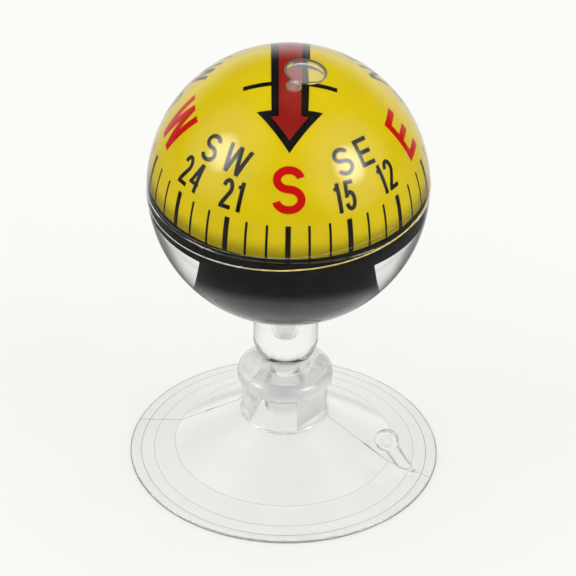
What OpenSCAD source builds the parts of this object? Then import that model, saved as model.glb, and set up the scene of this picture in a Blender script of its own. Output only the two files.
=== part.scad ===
// Liquid-filled ball compass that stands on a suction cup, in millimetres.
// The origin is the middle of the cup on the surface that it grips, and +Z is up.
// The compass faces -Y.

/* [Suction cup] */
// Diameter of the lip
cup_d = 35; // [33:0.5:40]
// Thickness of the lip at its edge
lip_t = 0.45; // [0.3:0.05:0.7]
// Width of the flat band under the lip that grips
grip_w = 1.3; // [0.6:0.1:1.8]
// Width of the bevel inside the gripping band
bevel_w = 1.5; // [0.8:0.1:1.8]
// Height that the bevel rises
bevel_h = 0.12; // [0.05:0.01:0.25]
// Width of the thin flare between the edge and the cone
flare_w = 5.1; // [4.4:0.1:5.8]
// Height at which the flare meets the cone
flare_h = 1.5; // [1.3:0.05:1.9]
// Thickness of the wall where the flare meets the cone
wall_t = 0.85; // [0.6:0.05:1.1]
// Height of the socket floor at the top of the cone
floor_h = 6.4; // [6:0.1:7.5]
// Thickness of the socket floor
floor_t = 1.9; // [1.4:0.1:2.4]
// Radius of the flat roof of the suction hollow
roof_r = 3.6; // [2.5:0.1:4.4]
// Turn of the mould's parting plane about the axis, in degrees
mould_turn = -17; // [-90:1:90]

/* [Socket] */
// Radius of the two legs' outer face
leg_r = 4.85; // [4.4:0.05:5.2]
// Width of the slot between the legs
slot_w = 5.46; // [5:0.02:6]
// Height of the slot between the floor and the ring
slot_h = 4.1; // [3.8:0.1:5]
// Outer radius of the snap ring
ring_r = 5.42; // [5.25:0.01:6]
// Height of the snap ring
ring_h = 2; // [1.8:0.1:2.6]
// Rounding of the ring's upper shoulder
ring_shoulder = 1.3; // [0.8:0.1:1.6]
// Rounding of the ring's lower edge
ring_edge = 0.45; // [0.2:0.05:0.5]
// Radius of the lead-in at the ring's mouth
mouth_r = 2.8; // [2.4:0.1:3.2]
// Depth of the lead-in
mouth_h = 0.9; // [0.5:0.1:1.2]
// Fillet at the foot of the legs
foot_fillet = 0.7; // [0.4:0.1:0.9]

/* [Pull tab] */
// Radius of the tab's round head
tab_head_r = 1.35; // [1:0.05:1.6]
// Thickness of the tab
tab_t = 0.8; // [0.6:0.1:1.2]
// Width of the tab's bar at the head
tab_bar_w = 1.55; // [1:0.05:1.8]
// Width of the tab's bar at its foot
tab_foot_w = 1.25; // [0.9:0.05:1.5]
// Distance of the head's centre inside the edge of the lip
tab_head_in = 5.3; // [4.8:0.1:6.5]
// Height of the head's centre
tab_head_h = 4.4; // [3.9:0.1:5]
// Distance of the bar's foot inside the edge of the lip
tab_foot_in = 2.4; // [2.1:0.1:3]
// Radius of the dimple in each face of the head
tab_dimple_r = 0.7; // [0.4:0.05:0.9]
// Depth of the dimple
tab_dimple = 0.2; // [0.1:0.05:0.25]

/* [Stem] */
// Radius of the button that snaps into the socket
button_r = 2.25; // [2.1:0.05:2.4]
// Height of the button's straight side
button_h = 2.6; // [2:0.1:3]
// Rounding of the button's lower edge
button_edge = 0.4; // [0.2:0.05:0.6]
// Radius of the neck that passes the ring
neck_r = 1.7; // [1.4:0.05:1.9]
// Radial clearance of the neck in the ring
neck_fit = 0.08; // [0.04:0.01:0.1]
// Clearance of the button over the socket floor
button_seat = 0.06; // [0.04:0.01:0.2]
// Length of neck left open between the ring and the shoulder
neck_open = 0.6; // [0.3:0.1:1.5]
// Radius of the shaft
shaft_r = 3.63; // [3.2:0.01:4]
// Length of the shaft from its shoulder to the ball's lowest point
shaft_h = 7.85; // [7:0.05:10]
// Rounding of the shoulder
shoulder = 2.9; // [1.6:0.05:3.1]
// Depth of the recess in the stem's head, below the ball's lowest point
recess_h = 4.3; // [3.6:0.1:5]
// Radius of the recess at its mouth
recess_r = 1.3; // [1.25:0.05:1.6]
// Radius of the recess's round bottom
recess_tip_r = 0.95; // [0.7:0.05:1.1]

/* [Ball] */
// Outer diameter of the ball
ball_d = 31.3; // [29:0.1:36]
// Thickness of the shells
shell_t = 1.5; // [1.4:0.05:1.8]
// Width of the seam's tongue
tongue_w = 0.5; // [0.4:0.05:0.7]
// Height of the seam's tongue
tongue_h = 0.8; // [0.5:0.1:1.2]
// Clearance round the tongue
tongue_fit = 0.04; // [0.02:0.01:0.08]
// Chamfer on each shell along the outside of the seam
seam_chamfer = 0.12; // [0.05:0.01:0.2]
// Radius of the filling hole in the lower shell
filler_r = 0.9; // [0.6:0.05:1]
// Clearance round the filler plug
plug_fit = 0.02; // [0.01:0.01:0.04]
// Height of the filler plug's head
plug_head_h = 0.9; // [0.6:0.1:1.4]
// Thickness of the cement under the ball
cement_t = 0.03; // [0.02:0.01:0.06]

/* [Liquid] */
// Gap between the shells and the layer of liquid
fluid_gap = 0.1; // [0.05:0.01:0.2]
// Thickness of the layer of liquid round the float
fluid_t = 1.15; // [1:0.05:2.2]
// Gap between the layer of liquid and the float
float_gap = 0.3; // [0.2:0.05:0.4]

/* [Float] */
// Thickness of the dome
dome_t = 0.7; // [0.5:0.05:1]
// Drop of the dome's edge below the ball's centre
dome_drop = 0.77; // [0.4:0.01:1.2]
// Height of the black rim under the dome
rim_h = 2.8; // [2.2:0.1:3.6]
// Thickness of the black rim, the deck and the cup's wall
base_t = 1; // [0.8:0.05:1.3]
// Height of the spigot that the dome sits round
spigot_h = 1.6; // [1:0.1:2.4]
// Outer radius of the ballast cup
cup_r = 6.15; // [5.6:0.05:7]
// Height of the cup's floor over the edge of its round bottom
cup_floor_rise = 0.25; // [0.1:0.05:0.5]
// Thickness of the ballast
ballast_h = 4; // [3:0.1:4.6]
// Thickness of the magnet
magnet_h = 3; // [2:0.1:3.4]
// Radial clearance between the turning pieces of the float
turn_fit = 0.08; // [0.04:0.01:0.1]
// Clearance between the turning pieces along the axis
turn_gap = 0.1; // [0.05:0.01:0.2]

/* [Hidden] */
$fn = 96;
// Sides of the large circles
fine = 180;
// How far cuts run past the faces that they cut
past = 1;
// Half the side of the square that holds every profile
plane = 2 * ball_d;

edge_r = cup_d / 2;
flare_r = edge_r - flare_w;
roof_z = floor_h - floor_t;
ring_z = floor_h + slot_h;
ring_top = ring_z + ring_h;
bore_r = neck_r + neck_fit;
button_z = floor_h + button_seat;
shoulder_z = ring_top + neck_open;
ball_r = ball_d / 2;
inner_r = ball_r - shell_t;
ball_z = shoulder_z + shaft_h + ball_r;
low_z = ball_z - ball_r;
seam_r = ball_r - shell_t / 2;
fluid_r = inner_r - fluid_gap;
fluid_in_r = fluid_r - fluid_t;
float_r = fluid_in_r - float_gap;
dome_z = ball_z - dome_drop;
dome_in_r = float_r - dome_t;
base_top = dome_z - turn_gap;
deck_z = base_top - base_t;
rim_z = base_top - rim_h;
cup_in_r = cup_r - base_t;
// The cup's bottom follows the float's round outline
cup_low_z = ball_z - sqrt(pow(float_r, 2) - pow(cup_r, 2));
cup_floor_z = cup_low_z + cup_floor_rise;
magnet_z = cup_floor_z + ballast_h + turn_gap;

// Half of the plane that a profile may use before it is turned about the axis
module right_half() {
    intersection() {
        children();
        translate([0, -plane]) square([plane, 2 * plane]);
    }
}

module turned() {
    rotate_extrude() right_half() children();
}

// Band of the plane between two heights
module between(low, high) {
    translate([-plane, low]) square([2 * plane, high - low]);
}

module ball_disc(r) {
    translate([0, ball_z]) circle(r = r, $fn = fine);
}

// Strip from radius a to radius b, between two heights
module strip(a, b, low, high) {
    translate([a, low]) square([b - a, high - low]);
}

// Strip from the axis with a rounded lower and upper outer corner
module rounded_strip(r, low, high, low_round, high_round) {
    difference() {
        strip(0, r, low, high);
        corner_waste(r, low, low_round, 1);
        corner_waste(r, high, high_round, -1);
    }
}

// What a rounding takes off the outer corner at (r, z); side is 1 for a lower corner
module corner_waste(r, z, size, side) {
    difference() {
        translate([r - size, side > 0 ? z - past : z - size]) square([size + past, size + past]);
        translate([r - size, z + side * size]) circle(r = size);
    }
}

// Cup: lip, flare, cone and solid floor
module bowl_profile() {
    lip_r = lip_t / 2;
    translate([edge_r - lip_r, lip_r]) circle(r = lip_r);
    polygon([
        [0, roof_z],
        [roof_r, roof_z],
        [flare_r, flare_h - wall_t],
        [edge_r - grip_w - bevel_w, bevel_h],
        [edge_r - grip_w, 0],
        [edge_r - lip_r, 0],
        [edge_r - lip_r, lip_t],
        [flare_r, flare_h],
        [leg_r, floor_h],
        [0, floor_h],
    ]);
}

// Fillet between the legs and the cone, drawn as the corner less a circle
module foot_profile() {
    slope = atan2(floor_h - flare_h, flare_r - leg_r);
    reach = foot_fillet * tan((90 - slope) / 2);
    difference() {
        polygon([
            [leg_r - past, floor_h - past],
            [leg_r - past, floor_h + reach],
            [leg_r, floor_h + reach],
            [leg_r + reach * cos(slope), floor_h - reach * sin(slope)],
            [leg_r, floor_h - past],
        ]);
        translate([leg_r + foot_fillet, floor_h + reach]) circle(r = foot_fillet);
    }
}

module socket_profile() {
    difference() {
        union() {
            strip(0, leg_r, floor_h - past, ring_z + past);
            foot_profile();
            rounded_strip(ring_r, ring_z, ring_top, ring_edge, ring_shoulder);
        }
        strip(-past, bore_r, ring_z - past, ring_top + past);
        polygon([
            [0, ring_top - mouth_h],
            [bore_r, ring_top - mouth_h],
            [mouth_r, ring_top],
            [mouth_r, ring_top + past],
            [0, ring_top + past],
        ]);
    }
}

// Keyhole outline of the pull tab, in the parting plane
module tab_outline() {
    head = [edge_r - tab_head_in, tab_head_h];
    foot = [edge_r - tab_foot_in, lip_t];
    run = foot - head;
    side = [-run[1], run[0]] / norm(run) / 2;
    translate(head) circle(r = tab_head_r);
    difference() {
        polygon([
            head + side * tab_bar_w,
            foot + run / norm(run) + side * tab_foot_w,
            foot + run / norm(run) - side * tab_foot_w,
            head - side * tab_bar_w,
        ]);
        between(-past, lip_t / 2);
    }
}

module pull_tab() {
    difference() {
        rotate([90, 0, 0]) linear_extrude(tab_t, center = true) tab_outline();
        for (side = [-1, 1])
            translate([edge_r - tab_head_in, side * tab_t / 2, tab_head_h]) rotate([90, 0, 0])
                cylinder(r = tab_dimple_r, h = 2 * tab_dimple, center = true);
    }
}

module suction_cup() {
    color([0.86, 0.88, 0.88], 0.45) rotate([0, 0, mould_turn]) {
        difference() {
            turned() {
                bowl_profile();
                socket_profile();
            }
            translate([-slot_w / 2, -leg_r - past - foot_fillet, floor_h])
                cube([slot_w, 2 * (leg_r + past + foot_fillet), slot_h]);
        }
        pull_tab();
    }
}

module stem() {
    button_top = button_z + button_h;
    color([0.8, 0.84, 0.86], 0.5) turned() difference() {
        union() {
            rounded_strip(button_r, button_z, button_top, button_edge, 0);
            polygon([
                [0, button_top],
                [button_r, button_top],
                [neck_r, ring_z - neck_fit],
                [0, ring_z - neck_fit],
            ]);
            strip(0, neck_r, button_top, shoulder_z + past);
            rounded_strip(shaft_r, shoulder_z, ball_z, shoulder, 0);
        }
        ball_disc(ball_r + cement_t);
        polygon([
            [0, low_z + past],
            [recess_r, low_z + past],
            [recess_tip_r, low_z - recess_h + recess_tip_r],
            [0, low_z - recess_h + recess_tip_r],
        ]);
        translate([0, low_z - recess_h + recess_tip_r]) circle(r = recess_tip_r);
    }
}

module filler_plug() {
    color([0.75, 0.78, 0.8], 0.7) turned() {
        strip(0, filler_r - plug_fit, low_z - plug_head_h, low_z + shell_t);
        strip(0, recess_tip_r, low_z - plug_head_h, low_z);
    }
}

module lower_shell() {
    color([0.85, 0.9, 0.92], 0.35) turned() difference() {
        union() {
            difference() {
                ball_disc(ball_r);
                ball_disc(inner_r);
                between(ball_z, 2 * ball_z);
            }
            strip(seam_r - tongue_w / 2, seam_r + tongue_w / 2, ball_z - past, ball_z + tongue_h);
        }
        seam_bevel(-1);
        strip(-past, filler_r, low_z - past, low_z + shell_t + past);
    }
}

module upper_shell() {
    groove = tongue_w / 2 + tongue_fit;
    color([0.85, 0.9, 0.92], 0.35) turned() difference() {
        ball_disc(ball_r);
        ball_disc(inner_r);
        between(-ball_z, ball_z);
        strip(seam_r - groove, seam_r + groove, ball_z - past, ball_z + tongue_h + tongue_fit);
        seam_bevel(1);
    }
}

// Chamfer along the outside of the seam, above it with side 1 and below it with side -1
module seam_bevel(side) {
    polygon([
        [ball_r - seam_chamfer, ball_z],
        [ball_r + past, ball_z + side * (seam_chamfer + past)],
        [ball_r + past, ball_z],
    ]);
}

// The layer of liquid between the shells and the sphere that the float turns in
module damping_fluid() {
    color([0.9, 0.95, 1], 0.15) translate([0, 0, ball_z]) difference() {
        sphere(r = fluid_r, $fn = fine);
        sphere(r = fluid_in_r, $fn = fine);
    }
}

module dial_dome() {
    color([0.93, 0.8, 0.1]) turned() difference() {
        ball_disc(float_r);
        ball_disc(dome_in_r);
        between(-ball_z, dome_z);
    }
}

module float_base() {
    spigot_r = dome_in_r - turn_fit;
    color([0.08, 0.08, 0.09]) turned() difference() {
        union() {
            // Rim and deck, cut to the round outline of the float
            intersection() {
                ball_disc(float_r);
                union() {
                    strip(float_r - base_t - dome_t, float_r, rim_z, base_top);
                    strip(cup_in_r, float_r, deck_z, base_top);
                }
            }
            strip(spigot_r - base_t, spigot_r, deck_z, dome_z + spigot_h);
            // Ballast cup
            intersection() {
                ball_disc(float_r);
                strip(0, cup_r, ball_z - float_r, base_top);
            }
        }
        strip(-past, cup_in_r, cup_floor_z, base_top + past);
        // The spigot stays inside the dome's round inner face
        difference() {
            between(dome_z, ball_z + float_r);
            ball_disc(spigot_r);
        }
    }
}

module ballast() {
    color([0.6, 0.6, 0.62]) translate([0, 0, cup_floor_z]) cylinder(r = cup_in_r - turn_fit, h = ballast_h);
}

module magnet() {
    color([0.25, 0.24, 0.24]) translate([0, 0, magnet_z]) cylinder(r = cup_in_r - turn_fit, h = magnet_h);
}

suction_cup();
stem();
filler_plug();
lower_shell();
upper_shell();
damping_fluid();
float_base();
ballast();
magnet();
dial_dome();
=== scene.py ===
import math

import bpy
import bmesh
from mathutils import Matrix, Vector, noise
from mathutils.geometry import delaunay_2d_cdt


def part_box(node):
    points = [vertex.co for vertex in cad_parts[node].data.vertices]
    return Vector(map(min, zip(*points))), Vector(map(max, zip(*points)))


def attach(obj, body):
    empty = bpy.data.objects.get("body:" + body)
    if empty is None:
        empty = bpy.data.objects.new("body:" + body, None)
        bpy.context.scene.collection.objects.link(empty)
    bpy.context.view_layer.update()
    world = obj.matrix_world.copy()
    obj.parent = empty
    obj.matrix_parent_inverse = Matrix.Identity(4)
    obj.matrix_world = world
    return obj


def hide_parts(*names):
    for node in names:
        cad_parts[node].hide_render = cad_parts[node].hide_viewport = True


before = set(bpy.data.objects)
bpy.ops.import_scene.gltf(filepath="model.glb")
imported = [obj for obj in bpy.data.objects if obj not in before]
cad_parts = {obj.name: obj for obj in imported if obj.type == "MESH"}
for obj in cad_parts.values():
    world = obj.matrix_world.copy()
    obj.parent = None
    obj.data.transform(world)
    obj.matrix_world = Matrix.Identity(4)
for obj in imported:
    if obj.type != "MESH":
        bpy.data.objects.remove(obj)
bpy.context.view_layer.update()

# All sizes are in metres, and heights in the ball are measured from its centre.
MM = 0.001

# Ball
BALL_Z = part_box("upper_shell")[0].z
BALL_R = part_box("upper_shell")[1].z - BALL_Z
SHELL_T = 1.5 * MM
INNER_R = BALL_R - SHELL_T
SEAM_CHAMFER = 0.12 * MM
TONGUE_R = BALL_R - SHELL_T / 2
TONGUE_W = 0.5 * MM
TONGUE_CEMENT_RISE = 1.15 * MM
TONGUE_CEMENT_T = 0.03 * MM
SEAM_DROP = 0.25 * MM
SEAM_SLOPE = (0.053, 0.041)
SEAM_POINTS = 900
BEAD_R = 0.085 * MM
# Each stretch with flash: the bearing of its middle, half its length in degrees, and how much it has
FLASH = ((57, 9, 1), (-20, 14, 0.6))

# Filling hole and its plug, under the ball
PLUG_R = 0.9 * MM
PLUG_HEAD_R = 0.95 * MM
PLUG_HEAD_H = 0.9 * MM

# Liquid and the air left in it. A bubble has its radius and half its height, and its bearing and rise.
LIQUID_R = INNER_R - 0.02 * MM
LARGE_BUBBLE = (2.2 * MM, 0.7 * MM)
LARGE_BUBBLE_AT = (112, 82.8)
BUBBLE_FLATNESS = 0.85
SMALL_BUBBLE = (0.82 * MM, 0.68 * MM)
SMALL_BUBBLE_AT = (10, 80.9)

# Float
DOME_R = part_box("dial_dome")[1].z - BALL_Z
DOME_T = 0.7 * MM
DOME_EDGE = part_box("dial_dome")[0].z - BALL_Z
BASE_TOP = DOME_EDGE - 0.1 * MM
RIM_H = 2.8 * MM
BASE_T = 1.0 * MM
SPIGOT_H = 1.6 * MM
TURN_FIT = 0.08 * MM
CUP_R = 6.15 * MM
CUP_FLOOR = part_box("ballast")[0].z - BALL_Z

# Stem
SHAFT_R = 3.63 * MM
SHOULDER = 2.9 * MM
SHOULDER_Z = 13.1 * MM
NECK_R = 1.7 * MM
NECK_END_Z = 10.42 * MM
BUTTON_TOP_Z = 9.06 * MM
BUTTON_R = 2.25 * MM
BUTTON_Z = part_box("stem")[0].z
BUTTON_EDGE = 0.4 * MM
CLOUDY_R = 3.38 * MM
RECESS_H = 4.3 * MM
RECESS_R = 1.3 * MM
RECESS_TIP_R = 0.95 * MM

# Suction cup
CUP_EDGE_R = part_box("suction_cup")[1].x
MOULD_TURN = -17
GRIP_W = 1.3 * MM
BEVEL_W = 1.5 * MM
LIP_T = 0.45 * MM
FLARE_R = CUP_EDGE_R - 5.1 * MM
FLARE_Z = 1.5 * MM
FLOOR_Z = 6.4 * MM
LEG_R = 4.85 * MM
FOOT_FILLET = 0.7 * MM
RING_R = 5.42 * MM
RING_Z = 10.5 * MM
RING_TOP = 12.5 * MM
RING_EDGE = 0.45 * MM
RING_SHOULDER = 1.3 * MM
TAB_HEAD_R = 1.35 * MM
TAB_HEAD_IN = 5.3 * MM
TAB_HEAD_Z = 4.4 * MM
TAB_FOOT_IN = 2.4 * MM
TAB_BAR_W = 1.55 * MM
TAB_FOOT_W = 1.25 * MM
TAB_LINE_T = 0.035 * MM
PARTING_T = 0.03 * MM
NIB_T = 0.09 * MM
NIB_R_LEFT = 9.4 * MM
NIB_R_RIGHT = 9.6 * MM

# Print on the dial, by its bearing from the south mark and its height over the dial's middle, in degrees
INK_T = 0.02 * MM
INK_ROOT = 0.03 * MM
INK_GRID = 0.3 * MM
TICK_LOW = -3.4
TICK_TOP = 13.5
TICK_W = 0.25 * MM
LONG_TICK_W = 0.56 * MM
NUMBER_AT = 24.2
NUMBER_H = 3.15 * MM
CORNER_AT = 40.2
CORNER_H = 2.95 * MM
CARDINAL_H = 4.9 * MM
ARROW_HALF_W = 1.9 * MM
ARROW_LINE = 0.77 * MM
ARROW_TAIL = 10.4 * MM
ARROW_NECK = -4.45 * MM
ARROW_BARB = 3.45 * MM
ARROW_TIP = -9.33 * MM
# Reach of the bar across the arrow, its place along it and its thickness
CROSS_BAR = (4.75 * MM, -0.9 * MM, 0.6 * MM)

WHITE = (1, 1, 1, 1)

# Refractive indices
PLASTIC_IOR = 1.49
LIQUID_IOR = 1.40
PVC_IOR = 1.53

SIDES = 192


# Camera and studio. The focal length is in pixels of the photograph.

IMAGE = 576
FOCAL = 4748
SENSOR = 36
CAMERA_DISTANCE = 531.3 * MM
CAMERA_RISE = math.radians(34.6)
CAMERA_ROLL = math.radians(1.05)
CAMERA_TARGET = Vector((0.16 * MM, 0, 22.69 * MM))


def place_object(name, data):
    made = bpy.data.objects.new(name, data)
    bpy.context.scene.collection.objects.link(made)
    return made


def make_camera():
    data = bpy.data.cameras.new("camera")
    data.sensor_width = SENSOR
    data.lens = FOCAL / IMAGE * SENSOR
    data.clip_start = 0.01
    data.clip_end = 50
    camera = place_object("camera", data)
    ahead = Vector((0, math.cos(CAMERA_RISE), -math.sin(CAMERA_RISE)))
    level = Vector((1, 0, 0))
    upright = level.cross(ahead)
    right = math.cos(CAMERA_ROLL) * level + math.sin(CAMERA_ROLL) * upright
    up = -math.sin(CAMERA_ROLL) * level + math.cos(CAMERA_ROLL) * upright
    place = CAMERA_TARGET - ahead * CAMERA_DISTANCE
    camera.matrix_world = Matrix.Translation(place) @ Matrix((right, up, -ahead)).transposed().to_4x4()
    bpy.context.scene.camera = camera
    bpy.context.scene.view_settings.view_transform = "Standard"


def set_input(tree, socket, value):
    """Sets an input to a value, or links it to another node's output."""
    if isinstance(value, bpy.types.NodeSocket):
        tree.links.new(value, socket)
    else:
        socket.default_value = value


def node(tree, kind, **inputs):
    """Adds a node. Inputs are set by name, spaces written as underscores."""
    made = tree.nodes.new("ShaderNode" + kind)
    for name, value in inputs.items():
        set_input(tree, made.inputs[name.replace("_", " ")], value)
    return made


def maths(tree, operation, first, second):
    """Works out an operation on two numbers or sockets."""
    made = tree.nodes.new("ShaderNodeMath")
    made.operation = operation
    set_input(tree, made.inputs[0], first)
    set_input(tree, made.inputs[1], second)
    return made.outputs[0]


def mixed_colour(tree, share, first, second):
    """Mixes two colours, with the share of the second."""
    made = tree.nodes.new("ShaderNodeMix")
    made.data_type = "RGBA"
    for number, value in ((0, share), (6, first), (7, second)):
        set_input(tree, made.inputs[number], value)
    return made.outputs[2]


def mixed_shader(tree, share, first, second):
    """Mixes two shaders, with the share of the second."""
    made = node(tree, "MixShader", Fac=share)
    tree.links.new(first.outputs[0], made.inputs[1])
    tree.links.new(second.outputs[0], made.inputs[2])
    return made


def own_place(tree):
    """Where a point lies in the piece's own frame."""
    return node(tree, "TexCoord").outputs["Object"]


def eased(tree, value, low, high, out_low, out_high):
    """Takes a value from one range smoothly to another."""
    made = tree.nodes.new("ShaderNodeMapRange")
    made.interpolation_type = "SMOOTHSTEP"
    tree.links.new(value, made.inputs["Value"])
    for name, number in (("From Min", low), ("From Max", high), ("To Min", out_low), ("To Max", out_high)):
        made.inputs[name].default_value = number
    return made.outputs["Result"]


# A ray that was mirrored once is under this depth at a face, and one deeper where it reaches the room
FIRST_RAY = 1.5
FIRST_RAY_IN_ROOM = 2.5


def first_reflection(tree, path, depth):
    """1 for light that a glossy face mirrors straight to the eye, and 0 for any other."""
    mirrored = maths(tree, "SUBTRACT", path.outputs["Is Glossy Ray"], path.outputs["Is Transmission Ray"])
    return maths(tree, "MULTIPLY", maths(tree, "LESS_THAN", path.outputs["Ray Depth"], depth), mirrored)


def seen_straight(tree, path):
    """1 for light that reaches the eye directly or through a clear piece, and 0 for any other."""
    return maths(tree, "MAXIMUM", path.outputs["Is Camera Ray"], path.outputs["Is Transmission Ray"])


BACKGROUND = (0.965, 0.965, 0.94, 1)
BACKDROP_TINT = (1, 1, 0.985, 1)
ROOM_LIGHT = 0.98
LAMP_LIGHT = 0.24
ROOM_SHINE = 0.05
# Direction and radiance of each lamp, and the cosines between which its core and its glow fade, with
# their shares of the radiance
LAMPS = (((-0.792, -0.205, 0.575), 8.6), ((0.76, -0.36, 0.542), 10.6))
LAMP_CORE = (0.956, 1.004, 0.88)
LAMP_GLOW = (0.7, 1.0, 0.12)
# How far a direction points ahead, aside or up where each of these starts and ends, and for the last two
# the light there
BACKDROP_SIDE = (0.5, 0.9)
BACKDROP_TOP = 0.53
SIDE_WALLS = (0.6, 0.78, 1, 0.42)
CEILING = (0.1, 0.6, 1, 0.7)


def backdrop_share(tree, across, ahead):
    """How far a level direction points at the backdrop rather than at the sides of the room."""
    level = maths(tree, "ADD", maths(tree, "MULTIPLY", across, across), maths(tree, "MULTIPLY", ahead, ahead))
    share = maths(tree, "DIVIDE", ahead, maths(tree, "SQRT", level, 0))
    return eased(tree, share, *BACKDROP_SIDE, 0, 1)


def lamps_in(tree, way):
    """Radiance of the two soft lamps in a direction."""
    lamps = 0.0
    for direction, radiance in LAMPS:
        facing = tree.nodes.new("ShaderNodeVectorMath")
        facing.operation = "DOT_PRODUCT"
        tree.links.new(way, facing.inputs[0])
        facing.inputs[1].default_value = direction
        for start, end, share in (LAMP_CORE, LAMP_GLOW):
            light = eased(tree, facing.outputs["Value"], start, end, 0, share * radiance)
            lamps = maths(tree, "ADD", light, lamps)
    return lamps


def make_room():
    """Room with a white backdrop and two soft lamps. Its sides and ceiling are darker, which shows
    only in glossy faces and in light that a clear piece bends far aside."""
    world = bpy.data.worlds.new("room")
    bpy.context.scene.world = world
    world.use_nodes = True
    tree = world.node_tree
    tree.nodes.clear()
    way = node(tree, "TexCoord").outputs["Generated"]
    parts = node(tree, "SeparateXYZ", Vector=way).outputs
    path = node(tree, "LightPath")
    lamps = lamps_in(tree, way)
    lighting = maths(tree, "ADD", maths(tree, "MULTIPLY", lamps, LAMP_LIGHT), ROOM_LIGHT)
    lit = node(tree, "Background", Color=WHITE, Strength=lighting)
    aside = eased(tree, maths(tree, "ABSOLUTE", parts["X"], 0), *SIDE_WALLS)
    bent = maths(tree, "MULTIPLY", aside, eased(tree, parts["Z"], *CEILING))
    seen = node(tree, "Background", Color=BACKGROUND,
                Strength=maths(tree, "MAXIMUM", path.outputs["Is Camera Ray"], bent))
    backdrop = maths(tree, "MULTIPLY", backdrop_share(tree, parts["X"], parts["Y"]),
                     eased(tree, parts["Z"], 0.0, BACKDROP_TOP, 1, 0))
    mirrored = maths(tree, "ADD", maths(tree, "MAXIMUM", backdrop, ROOM_SHINE), lamps)
    shine = node(tree, "Background", Color=BACKDROP_TINT, Strength=mirrored)
    shown = maths(tree, "MAXIMUM", seen_straight(tree, path), path.outputs["Is Glossy Ray"])
    whole = mixed_shader(tree, first_reflection(tree, path, FIRST_RAY_IN_ROOM),
                         mixed_shader(tree, shown, lit, seen), shine)
    node(tree, "OutputWorld", Surface=whole.outputs[0])


def new_material(name):
    made = bpy.data.materials.new(name)
    made.use_nodes = True
    made.node_tree.nodes.clear()
    return made, made.node_tree


PAPER_HALF = 4.0
PAPER_Z = -0.02 * MM
PAPER_TINTS = ((0.66, 0.66, 0.645, 1), (0.675, 0.675, 0.66, 1))
PAPER_GLOW = 0.212
PAPER_SHINE = 0.2
# Where the paper's look starts and ends to change, in metres from the middle, and the values there: how much
# darker painted shade makes it far aside in clear pieces, and how bright the painted glow is that a glossy
# face mirrors behind the part and under it
PAPER_ASIDE = (0.1, 0.5, 0, 0.15)
PAPER_BEHIND = (0.01, 0.07, PAPER_SHINE, 0.96)
PAPER_UNDER = (0.016, 0.028, 0.9, PAPER_SHINE)


def floor_paper():
    """White paper. A painted glow makes glossy faces mirror it bright behind the part and under it, and dark
    elsewhere, and a painted shade darkens it far aside in clear pieces.
    """
    material, tree = new_material("floor_paper")
    place = own_place(tree)
    parts = node(tree, "SeparateXYZ", Vector=place).outputs
    path = node(tree, "LightPath")
    grain = node(tree, "TexNoise", Scale=900.0, Detail=3.0)
    tint = mixed_colour(tree, grain.outputs["Fac"], *PAPER_TINTS)
    paper = node(tree, "BsdfDiffuse", Color=tint)
    glow = node(tree, "Emission", Color=BACKGROUND,
                Strength=maths(tree, "MULTIPLY", seen_straight(tree, path), PAPER_GLOW))
    both = tree.nodes.new("ShaderNodeAddShader")
    tree.links.new(paper.outputs[0], both.inputs[0])
    tree.links.new(glow.outputs[0], both.inputs[1])
    # Painted shade: seen through clear pieces far aside, the paper turns darker
    aside = eased(tree, maths(tree, "ABSOLUTE", parts["X"], 0), *PAPER_ASIDE)
    shade = mixed_shader(tree, maths(tree, "MULTIPLY", path.outputs["Is Transmission Ray"], aside),
                         both, node(tree, "Emission", Strength=0.0))
    # Painted glow that glossy faces mirror: bright behind the part and under it
    behind = maths(tree, "MULTIPLY", eased(tree, parts["Y"], *PAPER_BEHIND),
                   backdrop_share(tree, parts["X"], parts["Y"]))
    far = node(tree, "VectorMath", Vector=place)
    far.operation = "LENGTH"
    under = eased(tree, far.outputs["Value"], *PAPER_UNDER)
    mirrored = node(tree, "Emission", Color=BACKDROP_TINT, Strength=maths(tree, "MAXIMUM", behind, under))
    whole = mixed_shader(tree, first_reflection(tree, path, FIRST_RAY), shade, mirrored)
    node(tree, "OutputMaterial", Surface=whole.outputs[0])
    return material


def new_mesh(name, places, faces):
    mesh = bpy.data.meshes.new(name)
    mesh.from_pydata(places, [], faces)
    return mesh


def make_floor():
    corners = [(x * PAPER_HALF, y * PAPER_HALF, PAPER_Z) for x, y in ((-1, -1), (1, -1), (1, 1), (-1, 1))]
    mesh = new_mesh("floor", corners, [(0, 1, 2, 3)])
    mesh.materials.append(floor_paper())
    place_object("floor", mesh)


# Effects that several finishes share

def new_group(name, takes, gives):
    """A node group. Each input has a title, a kind and a value, and each output a title and a kind."""
    group = bpy.data.node_groups.new(name, "ShaderNodeTree")
    for title, kind, value in takes:
        socket = group.interface.new_socket(title, in_out="INPUT", socket_type="NodeSocket" + kind)
        socket.default_value = value
    for title, kind in gives:
        group.interface.new_socket(title, in_out="OUTPUT", socket_type="NodeSocket" + kind)
    return group, group.nodes.new("NodeGroupInput"), group.nodes.new("NodeGroupOutput")


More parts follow.
